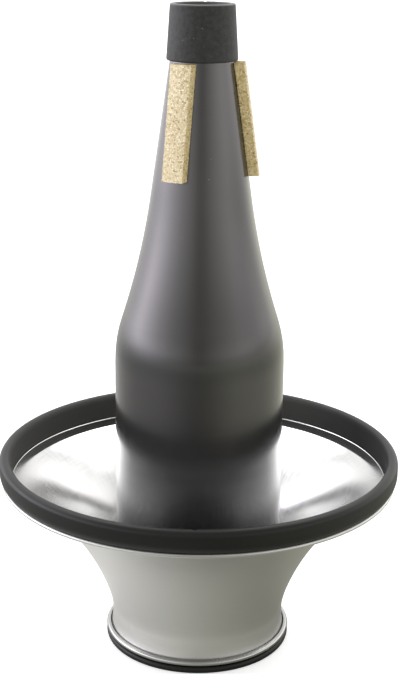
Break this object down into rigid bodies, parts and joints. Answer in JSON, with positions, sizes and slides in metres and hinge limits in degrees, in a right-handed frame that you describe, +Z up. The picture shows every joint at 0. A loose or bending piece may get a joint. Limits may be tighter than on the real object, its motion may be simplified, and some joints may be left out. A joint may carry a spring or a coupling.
{
  "type": "trombone cup mute",
  "caption": "Hollow bottle-shaped mute with cork strips at its narrow end and a flared cup with a rubber-edged rim that slides along it.",
  "frame": {"origin": "on the mute's axis, on the surface that its base edging stands on", "axes": "+Z up along the axis from the base to the narrow mouth; the pictured side faces -Y"},
  "size_m": [0.1782, 0.1782, 0.2854],
  "materials": {
    "black_aluminium": "satin black anodised",
    "bare_aluminium": "satin, spun",
    "cup_aluminium": "brushed satin outside, polished inside",
    "black_rubber": "matt",
    "sleeve_foam": "matt, dense foam rubber",
    "cork_sheet": "agglomerated cork, sanded",
    "grey_felt": "thin pressed felt"
  },
  "bodies": {
    "mute_body": {"body_shell": "black_aluminium", "base_plate": "bare_aluminium", "base_edging": "black_rubber", "neck_sleeve": "sleeve_foam", "cork_strip_1": "cork_sheet", "cork_strip_2": "cork_sheet", "cork_strip_3": "cork_sheet"},
    "cup": {"cup_shell": "cup_aluminium", "cup_rim_edging": "black_rubber", "cup_grip_lining": "grey_felt"}
  },
  "joints": [
    {"name": "cup_slide", "type": "slide", "parent": "mute_body", "child": "cup", "axis": [0, 0, 1], "range_m": [0, 0.115]}
  ]
}
